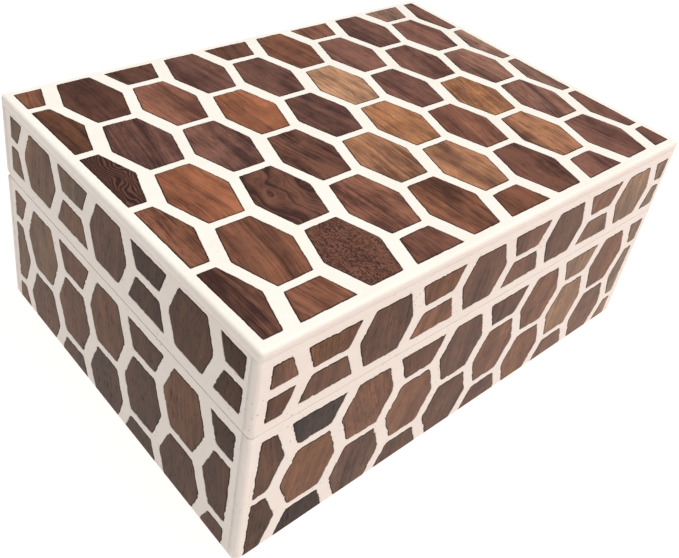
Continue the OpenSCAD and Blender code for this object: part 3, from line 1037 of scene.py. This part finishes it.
def wood_grain_group():
    tree, given, result = new_group(
        "wood_grain",
        [("Grain", "Vector", None), ("Tone", "Color", None), ("Lively", "Float", 1.0),
         ("Curl", "Float", 0.0), ("Swirl", "Float", 0.0), ("Ripple", "Float", 0.0)],
        [("Color", "Color", None), ("Height", "Float", None), ("Pores", "Float", None)])
    grain = given.outputs["Grain"]
    bent = bent_grain(tree, grain, given.outputs["Swirl"])
    layers = {name: figure_layer(tree, name, grain if name in OFF_THE_GRAIN else bent)
              for name in LAYERS}
    terms = [swing(tree, layers[name], 0.5, weight) for name, weight in WEIGHTS.items()]
    mixed = terms[0]
    for term in terms[1:]:
        mixed = maths(tree, "ADD", mixed, term)
    mixed = maths(tree, "MULTIPLY", mixed, given.outputs["Lively"])
    for figure, amount in ((swing(tree, layers["curls"], 0.45, CURL_REACH), "Curl"),
                           (swing(tree, zebra_waves(tree, bent), 0.6, RIPPLE_REACH), "Ripple")):
        shown = maths(tree, "MULTIPLY", figure, given.outputs[amount])
        mixed = maths(tree, "ADD", mixed, shown)
    level = span(tree, mixed, -0.5, 0.5)
    deep = blend_colour(tree, 1.0, given.outputs["Tone"], DEEPEST, "MULTIPLY")
    glow = blend_colour(tree, 1.0, given.outputs["Tone"], LIGHTEST, "MULTIPLY")
    colour = blend_colour(tree, level, deep, glow)
    dark = blend_colour(tree, 1.0, colour, PORE_SHADE, "MULTIPLY")
    pore_strength = span(tree, given.outputs["Lively"], 0.4, 1.8, 0.2, 0.7)
    pore_mask = maths(tree, "MULTIPLY", layers["pores"], pore_strength)
    colour = blend_colour(tree, pore_mask, colour, dark)
    bright = blend_colour(tree, 1.0, colour, FLECK_SHADE, "MULTIPLY")
    flecks = maths(tree, "MULTIPLY", layers["flecks"], layers["patches"])
    colour = blend_colour(tree, maths(tree, "MULTIPLY", flecks, 0.75), colour, bright)
    ridges = maths(tree, "MULTIPLY", layers["fibres"], 0.3)
    tree.links.new(colour, result.inputs["Color"])
    tree.links.new(maths(tree, "SUBTRACT", ridges, layers["pores"]), result.inputs["Height"])
    tree.links.new(layers["pores"], result.inputs["Pores"])
    return tree


wood_grain = wood_grain_group()
print(len(wood_grain.nodes), "nodes draw the wood")

# %% [markdown]
# ## Polished tiles
# The tiles are sanded flush with the resin and polished to a satin shine. The polish sinks into
# the pores, so they are a little rougher. The top was polished more than the sides, which are
# nearly dull. At the rim the saw and the resin have darkened the wood: a thin outline, broken
# here and there, which the stored rim value draws.

# %% The tile material
SAWN_DARK = (0.022, 0.012, 0.008, 1)


def attribute(tree, name):
    return add(tree, "ShaderNodeAttribute", attribute_name=name)


def tile_material(name, shine):
    material, tree, shader = new_material(name, Specular_IOR_Level=shine)
    stored = attribute(tree, "figure")
    figure = add(tree, "ShaderNodeSeparateXYZ")
    tree.links.new(stored.outputs["Color"], figure.inputs[0])
    grain = attribute(tree, "grain").outputs["Vector"]
    wood = place_group(tree, wood_grain, Grain=grain, Tone=attribute(tree, "tone").outputs["Color"],
                       Lively=figure.outputs[0], Curl=figure.outputs[1], Swirl=figure.outputs[2],
                       Ripple=stored.outputs["Alpha"])
    rim = attribute(tree, "rim").outputs["Fac"]
    broken = stretched_noise(tree, grain, (0.9, 0.9, 1.0), 2.0, 0.6, 83.0)
    edge = maths(tree, "ADD", rim, swing(tree, broken, 0.5, 0.5))
    edge_mask = span(tree, edge, 0.3, 0.9, 0.9, 0.0, smooth=True)
    colour = blend_colour(tree, edge_mask, wood["Color"], SAWN_DARK)
    tree.links.new(colour, shader.inputs["Base Color"])
    tree.links.new(span(tree, wood["Pores"], 0.0, 1.0, 0.36, 0.6), shader.inputs["Roughness"])
    give_bump(tree, shader, wood["Height"], 0.25, 0.00004)
    return material


# %% [markdown]
# ## Cream resin
# The ground is a cast resin, tinted cream and polished. It is never quite even: faint cloudy
# streaks, small pits where air bubbles were cut open, and a brown stain where wood dust was
# caught along a tile. The top was polished until hardly a pit was left and the sides were not,
# so the cloud and the pits are a group, which both materials place with their own values.

# %% The cast resin group
def cast_resin_group():
    tree, given, result = new_group(
        "cast_resin",
        [("Place", "Vector", None), ("Light", "Color", None), ("Dark", "Color", None),
         ("Pits", "Float", 1.0)],
        [("Color", "Color", None), ("Height", "Float", None), ("Haze", "Float", None)])
    place = given.outputs["Place"]
    cloud = stretched_noise(tree, place, (38.0, 38.0, 38.0), 3.0, 0.6)
    streak = stretched_noise(tree, place, (90.0, 240.0, 240.0), 3.0, 0.65, 9.0)
    uneven = maths(tree, "ADD", maths(tree, "MULTIPLY", cloud, 0.6),
                   maths(tree, "MULTIPLY", streak, 0.4))
    colour = blend_colour(tree, span(tree, uneven, 0.36, 0.64), given.outputs["Dark"],
                          given.outputs["Light"])
    bubbles = stretched_noise(tree, place, (1500.0, 1500.0, 1500.0), 1.0, 0.4, 17.0)
    crowd = stretched_noise(tree, place, (110.0, 110.0, 110.0), 1.0, 0.5, 5.0)
    pits = maths(tree, "MULTIPLY", span(tree, bubbles, 0.7, 0.76), span(tree, crowd, 0.5, 0.62))
    pits = maths(tree, "MULTIPLY", pits, given.outputs["Pits"])
    stain = blend_colour(tree, 1.0, colour, (0.55, 0.42, 0.32, 1), "MULTIPLY")
    colour = blend_colour(tree, pits, colour, stain)
    tree.links.new(colour, result.inputs["Color"])
    tree.links.new(maths(tree, "MULTIPLY", pits, -1.0), result.inputs["Height"])
    tree.links.new(cloud, result.inputs["Haze"])
    return tree


cast_resin = cast_resin_group()
print(len(cast_resin.nodes), "nodes draw the resin")

# %% The ground material
CREAM = (0.87, 0.85, 0.785, 1)
DARKER_CREAM = (0.84, 0.8, 0.72, 1)
WOOD_DUST = (0.12, 0.06, 0.035, 1)


def ground_material(name, pits):
    material, tree, shader = new_material(name, Specular_IOR_Level=0.3)
    place = add(tree, "ShaderNodeTexCoord").outputs["Object"]
    resin = place_group(tree, cast_resin, Place=place, Light=CREAM, Dark=DARKER_CREAM, Pits=pits)
    rim = attribute(tree, "rim").outputs["Fac"]
    dust = stretched_noise(tree, place, (260.0, 260.0, 260.0), 2.0, 0.6, 27.0)
    caught = span(tree, dust, 0.45, 0.6)
    at_rim = maths(tree, "MULTIPLY", span(tree, rim, 0.0, 1.0, 1.0, 0.0), caught)
    mask = maths(tree, "MULTIPLY", at_rim, 0.8)
    colour = blend_colour(tree, mask, resin["Color"], WOOD_DUST)
    tree.links.new(colour, shader.inputs["Base Color"])
    tree.links.new(span(tree, resin["Haze"], 0.3, 0.7, 0.3, 0.42), shader.inputs["Roughness"])
    give_bump(tree, shader, resin["Height"], 0.5, 0.0001)
    return material


# %% Finish the skin
finishes = {
    "top": (tile_material("tile_wood_top", 0.2), ground_material("cream_resin_top", 0.2)),
    "sides": (tile_material("tile_wood_sides", 0.08), ground_material("cream_resin_sides", 1.0)),
}
for face in FACES:
    tile_finish, ground_finish = finishes["top" if face == "lid_top" else "sides"]
    tile_pieces[face].data.materials.append(tile_finish)
    ground_pieces[face].data.materials.append(ground_finish)
print(len(finishes), "finishes on", len(FACES), "faces")

# %% [markdown]
# ## The carcass
# The walls, floor and top panel keep the shapes of the design, because sawn boards are exactly
# that. They only need their own wood: a plain brown timber with its grain along each board. The
# wood group is used again, fed with the place in the object instead of stored values.

# %% The carcass material
def carcass_material(name, along, tone):
    """Plain wood with its grain along X or Y."""
    material, tree, shader = new_material(name)
    place = add(tree, "ShaderNodeTexCoord").outputs["Object"]
    scaled = add(tree, "ShaderNodeMapping")
    scaled.inputs["Scale"].default_value = (1 / MM, 1 / MM, 1 / MM)
    turned = math.radians(90) if along == "X" else 0.0
    scaled.inputs["Rotation"].default_value = (0.0, 0.0, turned)
    tree.links.new(place, scaled.inputs["Vector"])
    wood = place_group(tree, wood_grain, Grain=scaled.outputs[0], Tone=tone, Lively=0.5)
    tree.links.new(wood["Color"], shader.inputs["Base Color"])
    tree.links.new(span(tree, wood["Pores"], 0.0, 1.0, 0.5, 0.7), shader.inputs["Roughness"])
    give_bump(tree, shader, wood["Height"], 0.3, 0.00006)
    return material


CORE_TONE = (0.34, 0.19, 0.095, 1)
along_x = carcass_material("core_wood_long", "X", CORE_TONE)
along_y = carcass_material("core_wood_short", "Y", CORE_TONE)
boards = [name for name in nodes if name.endswith("_wall")] + ["base_floor", "lid_top_panel"]
for name in boards:
    short = "left" in name or "right" in name
    nodes[name].data.materials[0] = along_y if short else along_x
print(len(boards), "boards of plain wood")

# %% [markdown]
# ## Velvet pad and felt
# A card covered with short velvet lies on the floor of the box. Glue holds its rim down and a
# little wadding lifts its middle, so it is a shallow pillow. A grid of points over the pad's
# box is lifted by a curve that is steep at the rim and flat in the middle. Velvet looks darker
# head on and catches light at a slant, which is what the sheen does.

# %% The cloth material
def cloth_material(name, colour, sheen, tint, thread):
    material, tree, shader = new_material(name, Sheen_Weight=sheen, Sheen_Tint=tint,
                                          Sheen_Roughness=0.35, Roughness=0.9)
    place = add(tree, "ShaderNodeTexCoord").outputs["Object"]
    pile = stretched_noise(tree, place, (thread, thread, thread), 2.0, 0.6)
    brushed = stretched_noise(tree, place, (60.0, 34.0, 60.0), 2.0, 0.5, 13.0)
    level = maths(tree, "ADD", maths(tree, "MULTIPLY", pile, 0.5),
                  maths(tree, "MULTIPLY", brushed, 0.5))
    dark = tuple(c * 0.55 for c in colour[:3]) + (1.0,)
    light = tuple(c * 1.5 for c in colour[:3]) + (1.0,)
    tree.links.new(blend_colour(tree, span(tree, level, 0.35, 0.65), dark, light),
                   shader.inputs["Base Color"])
    give_bump(tree, shader, pile, 0.6, 0.0002)
    return material


# %% The velvet pad
RIM_WIDTH = 0.006
RIM_HEIGHT = 0.3  # of the pad's thickness
CROWN = 0.64  # how much of the thickness the wadding adds in the middle
DIMPLES = 0.06
DIMPLES_PER_METRE = 60


def build_pad():
    low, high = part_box("base_lining")
    columns, rows = 90, 64
    mesh = bmesh.new()
    thick = high.z - low.z
    upper, lower = [], []
    for j in range(rows + 1):
        up_row, low_row = [], []
        for i in range(columns + 1):
            x = low.x + (high.x - low.x) * i / columns
            y = low.y + (high.y - low.y) * j / rows
            gap = min(x - low.x, high.x - x, y - low.y, high.y - y)
            rise = math.sin(math.pi / 2 * min(1, gap / RIM_WIDTH)) ** 0.6
            dimple = DIMPLES * noise.noise(Vector((x, y, 0)) * DIMPLES_PER_METRE)
            z = low.z + thick * (RIM_HEIGHT + (CROWN + dimple) * rise)
            up_row.append(mesh.verts.new((x, y, z)))
            low_row.append(mesh.verts.new((x, y, low.z)))
        upper.append(up_row)
        lower.append(low_row)
    for j in range(rows):
        for i in range(columns):
            for grid in (upper, lower):
                face = (grid[j][i], grid[j][i + 1], grid[j + 1][i + 1], grid[j + 1][i])
                mesh.faces.new(face if grid is upper else face[::-1]).smooth = True
    edge = [(0, i) for i in range(columns)] + [(j, columns) for j in range(rows)]
    edge += [(rows, columns - i) for i in range(columns)] + [(rows - j, 0) for j in range(rows)]
    for (j1, i1), (j2, i2) in zip(edge, edge[1:] + edge[:1]):
        mesh.faces.new((lower[j1][i1], lower[j2][i2], upper[j2][i2], upper[j1][i1]))
    data = bpy.data.meshes.new("velvet_pad")
    mesh.to_mesh(data)
    mesh.free()
    pad = bpy.data.objects.new("velvet_pad", data)
    bpy.context.scene.collection.objects.link(pad)
    return pad


velvet_pad = build_pad()
velvet_pad.data.materials.append(
    cloth_material("lining_velvet", (0.1, 0.008, 0.014, 1), 0.35, (1.0, 0.4, 0.4, 1), 2600.0))
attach(velvet_pad, "base")
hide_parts("base_lining")
nodes["base_felt"].data.materials[0] = cloth_material(
    "under_felt", (0.018, 0.04, 0.026, 1), 0.4, (0.7, 1.0, 0.8, 1), 1400.0)
print("the pad has", len(velvet_pad.data.polygons), "faces")

# %% [markdown]
# ## Brass hinges
# The hinges, pins and screws are exact turned and stamped parts and stay as designed. Brass
# that has been handled goes brown in patches, and fine scratches run along the knuckles.

# %% The brass material
def brass_material():
    material, tree, shader = new_material("hinge_brass", Metallic=1.0)
    place = add(tree, "ShaderNodeTexCoord").outputs["Object"]
    patches = stretched_noise(tree, place, (300.0, 300.0, 300.0), 3.0, 0.6)
    scratches = stretched_noise(tree, place, (120.0, 3200.0, 3200.0), 2.0, 0.5, 7.0)
    worn = span(tree, patches, 0.42, 0.62)
    tree.links.new(blend_colour(tree, worn, (0.78, 0.55, 0.24, 1), (0.34, 0.21, 0.09, 1)),
                   shader.inputs["Base Color"])
    tree.links.new(span(tree, worn, 0.0, 1.0, 0.26, 0.5), shader.inputs["Roughness"])
    give_bump(tree, shader, scratches, 0.3, 0.00004)
    return material


brass = brass_material()
hinge_names = [name for name in nodes if name.startswith("hinge_")]
for name in hinge_names:
    nodes[name].data.materials[0] = brass
print(len(hinge_names), "nodes of brass")

# %% [markdown]
# ## Studio
# The box stands on a light table that fills the view. The table glows a little warm, so it
# shows hardly any shadow and throws a soft light up on the sides. The main light is a wide one
# from the ceiling, which makes the top the brightest face. A weak, warm panel in front on the
# right lifts the long front above the left end. The world is a faint white that opens the
# darkest corners.

# %% Floor
FLOOR_REACH = 3.0
FLOOR_GLOW = 1.03


def build_floor():
    mesh = bpy.data.meshes.new("studio_floor")
    corners = [(x * FLOOR_REACH, y * FLOOR_REACH, 0) for x, y in ((-1, -1), (1, -1), (1, 1), (-1, 1))]
    mesh.from_pydata(corners, [], [(0, 1, 2, 3)])
    floor = bpy.data.objects.new("studio_floor", mesh)
    bpy.context.scene.collection.objects.link(floor)
    material, tree, shader = new_material(
        "studio_floor", Roughness=0.9, Base_Color=(0.12, 0.12, 0.12, 1),
        Emission_Color=(1.0, 0.9, 0.87, 1), Emission_Strength=FLOOR_GLOW)
    mesh.materials.append(material)
    return floor


build_floor()

# %% Lights
WORLD_STRENGTH = 0.14
LIGHTS = {
    "ceiling": dict(kind="SUN", at=(0.1, -0.15, 1.0), aim=(0, 0, 0), size=math.radians(50),
                    power=3.35, colour=(1.0, 0.99, 0.98)),
    "front_right": dict(kind="AREA", at=(0.35, -0.9, 0.3), aim=(0, -0.03, 0.04), size=0.8,
                        power=2.2, colour=(1.0, 0.5, 0.43)),
}


def build_light(name, kind, at, aim, size, power, colour):
    data = bpy.data.lights.new(name, kind)
    if kind == "SUN":
        data.angle = size
    else:
        data.size = size
    data.energy = power
    data.color = colour
    light = bpy.data.objects.new(name, data)
    light.location = at
    light.rotation_euler = (Vector(aim) - Vector(at)).to_track_quat("-Z", "Y").to_euler()
    bpy.context.scene.collection.objects.link(light)


for light_name, light_facts in LIGHTS.items():
    build_light(light_name, **light_facts)
print("lights:", ", ".join(LIGHTS))
world = bpy.data.worlds.new("white_room")
world.use_nodes = True
background = world.node_tree.nodes["Background"]
background.inputs["Color"].default_value = (1.0, 0.99, 0.98, 1)
background.inputs["Strength"].default_value = WORLD_STRENGTH
bpy.context.scene.world = world
bpy.context.scene.view_settings.view_transform = "Standard"
bpy.context.scene.view_settings.look = "None"

# %% [markdown]
# ## Camera
# The eye is 13 cm above the lid, in front of the near left corner and close to it, so the
# lines run together strongly. The camera leans a little to one side, and its view is shifted
# down so that the box fills the frame.

# %% Camera
EYE = Vector((-0.1780, -0.1588, 0.2087))
AIM = Vector((0.0065, 0.0149, 0.038))
LEAN = math.radians(9.54)
camera_data = bpy.data.cameras.new("camera")
camera_data.sensor_width = 36.0
camera_data.lens = 45.59
camera_data.shift_x = 0.0147
camera_data.shift_y = -0.1346
camera_data.clip_start = 0.01
camera = bpy.data.objects.new("camera", camera_data)
look = (AIM - EYE).to_track_quat("-Z", "Y").to_matrix().to_4x4()
camera.matrix_world = Matrix.Translation(EYE) @ look @ Matrix.Rotation(LEAN, 4, "Z")
bpy.context.scene.collection.objects.link(camera)
bpy.context.scene.camera = camera
print("camera", tuple(round(c, 3) for c in camera.location))
